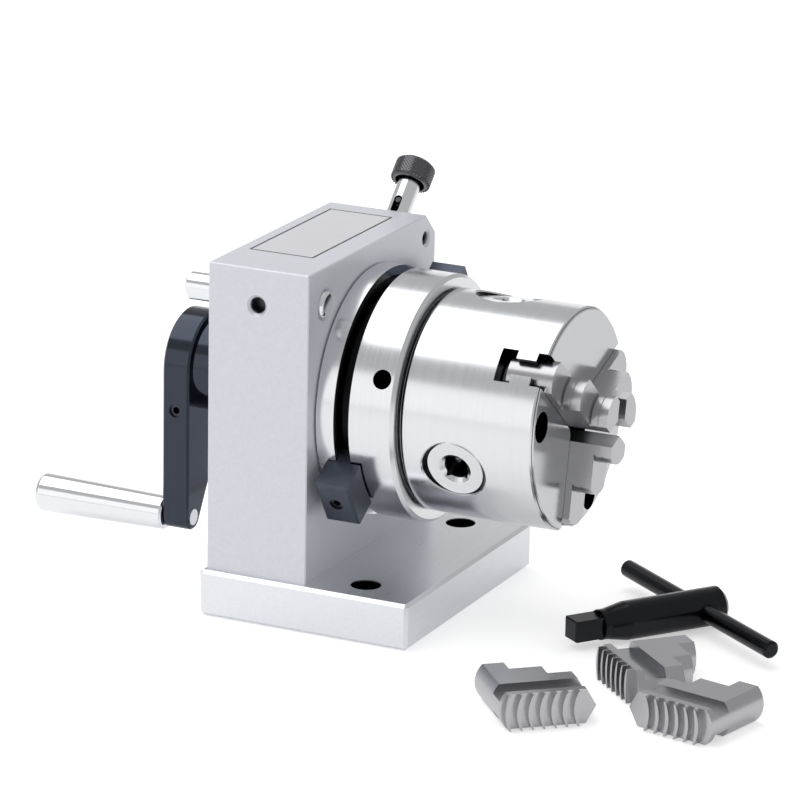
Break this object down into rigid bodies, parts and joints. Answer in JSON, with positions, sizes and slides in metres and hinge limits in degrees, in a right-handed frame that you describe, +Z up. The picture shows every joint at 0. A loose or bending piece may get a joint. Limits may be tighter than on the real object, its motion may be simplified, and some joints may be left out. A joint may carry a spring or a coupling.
{
  "type": "punch_former",
  "caption": "Punch former with a geared three-jaw chuck on a cranked spindle, index plunger, stop pin with two stop dogs, ground base plate, chuck key and spare jaws",
  "frame": {"origin": "the middle of the base plate's underside; the block's front face is the plane X = 0", "axes": "+X along the spindle towards the chuck's face, +Z up, +Y completes the frame"},
  "size_m": [0.3038, 0.1786, 0.1473],
  "materials": {
    "ground_steel": "ground",
    "satin_block": "satin",
    "bare_plate": "satin",
    "bronze": "machined",
    "chrome_plate": "polished",
    "spring_steel": "drawn",
    "turned_steel": "turned",
    "jaw_steel": "matte",
    "black_oxide": "black oxide",
    "dark_paint": "dark gloss"
  },
  "bodies": {
    "base": {"base_plate": "ground_steel", "body_block": "satin_block", "base_screws": "black_oxide", "base_dowels": "ground_steel", "top_plate": "bare_plate", "spindle_bush": "bronze", "plunger_sleeve": "chrome_plate", "sleeve_screw": "black_oxide", "stop_pin_screw": "black_oxide", "plunger_spring": "spring_steel", "key_body": "black_oxide", "spare_jaw_1": "jaw_steel", "spare_jaw_2": "jaw_steel", "spare_jaw_3": "jaw_steel"},
    "spindle": {"spindle": "turned_steel", "rear_collar": "dark_paint", "collar_screw": "black_oxide", "crank_arm": "dark_paint", "crank_clamp_screw": "black_oxide", "handle_axle": "turned_steel", "chuck_adapter": "turned_steel", "adapter_screws": "black_oxide", "chuck_body": "turned_steel", "chuck_cover": "turned_steel", "chuck_screws": "black_oxide", "pinion_screws": "black_oxide"},
    "scroll": {"scroll_plate": "jaw_steel"},
    "handle": {"handle_grip": "chrome_plate"},
    "near_dog": {"stop_dog_near": "black_oxide", "dog_screw_near": "black_oxide"},
    "far_dog": {"stop_dog_far": "black_oxide", "dog_screw_far": "black_oxide"},
    "stop_pin": {"stop_pin": "chrome_plate"},
    "plunger": {"plunger_pin": "turned_steel", "plunger_cross_pin": "turned_steel", "plunger_knob": "black_oxide"},
    "key_bar": {"key_bar": "black_oxide"},
    "pinion_1": {"pinion_1": "turned_steel"},
    "jaw_1": {"jaw_1": "jaw_steel"},
    "pinion_2": {"pinion_2": "turned_steel"},
    "jaw_2": {"jaw_2": "jaw_steel"},
    "pinion_3": {"pinion_3": "turned_steel"},
    "jaw_3": {"jaw_3": "jaw_steel"}
  },
  "joints": [
    {"name": "spindle_turn", "type": "hinge", "parent": "base", "child": "spindle", "pos_m": [0, 0, 0.077], "axis": [1, 0, 0], "continuous": true},
    {"name": "scroll_turn", "type": "hinge", "parent": "spindle", "child": "scroll", "pos_m": [0.06, 0, 0.077], "axis": [1, 0, 0], "range_deg": [-720, 270]},
    {"name": "handle_spin", "type": "hinge", "parent": "spindle", "child": "handle", "pos_m": [-0.1, -0.0147, 0.0219], "axis": [1, 0, 0], "continuous": true},
    {"name": "near_dog_swing", "type": "hinge", "parent": "spindle", "child": "near_dog", "pos_m": [0.0103, 0, 0.077], "axis": [1, 0, 0], "range_deg": [-15, 15]},
    {"name": "far_dog_swing", "type": "hinge", "parent": "spindle", "child": "far_dog", "pos_m": [0.0103, 0, 0.077], "axis": [1, 0, 0], "range_deg": [-15, 15]},
    {"name": "stop_pin_slide", "type": "slide", "parent": "base", "child": "stop_pin", "axis": [1, 0, 0], "range_m": [0, 0.01]},
    {"name": "plunger_slide", "type": "slide", "parent": "base", "child": "plunger", "axis": [0, -0.7071, -0.7071], "range_m": [0, 0.004]},
    {"name": "key_bar_slide", "type": "slide", "parent": "base", "child": "key_bar", "axis": [0.809, -0.5878, 0], "range_m": [-0.04, 0.04]},
    {"name": "pinion_1_turn", "type": "hinge", "parent": "spindle", "child": "pinion_1", "pos_m": [0.0505, 0.02528, 0.05579], "axis": [0, 0.766, -0.6428], "continuous": true},
    {"name": "pinion_2_turn", "type": "hinge", "parent": "spindle", "child": "pinion_2", "pos_m": [0.0505, 0.00573, 0.1095], "axis": [0, 0.1736, 0.9848], "continuous": true},
    {"name": "pinion_3_turn", "type": "hinge", "parent": "spindle", "child": "pinion_3", "pos_m": [0.0505, -0.03101, 0.06571], "axis": [0, -0.9397, -0.342], "continuous": true},
    {"name": "jaw_1_slide", "type": "slide", "parent": "spindle", "child": "jaw_1", "axis": [0, 0.9397, 0.342], "range_m": [-0.003, 0.008]},
    {"name": "jaw_2_slide", "type": "slide", "parent": "spindle", "child": "jaw_2", "axis": [0, -0.766, 0.6428], "range_m": [-0.003, 0.008]},
    {"name": "jaw_3_slide", "type": "slide", "parent": "spindle", "child": "jaw_3", "axis": [0, -0.1736, -0.9848], "range_m": [-0.003, 0.008]}
  ],
  "couplings": [
    {"joint": "pinion_1_turn", "follows": "scroll_turn", "ratio": -4},
    {"joint": "pinion_2_turn", "follows": "scroll_turn", "ratio": -4},
    {"joint": "pinion_3_turn", "follows": "scroll_turn", "ratio": -4},
    {"joint": "jaw_1_slide", "follows": "scroll_turn", "m_per_rad": -0.00063662},
    {"joint": "jaw_2_slide", "follows": "scroll_turn", "m_per_rad": -0.00063662},
    {"joint": "jaw_3_slide", "follows": "scroll_turn", "m_per_rad": -0.00063662}
  ]
}
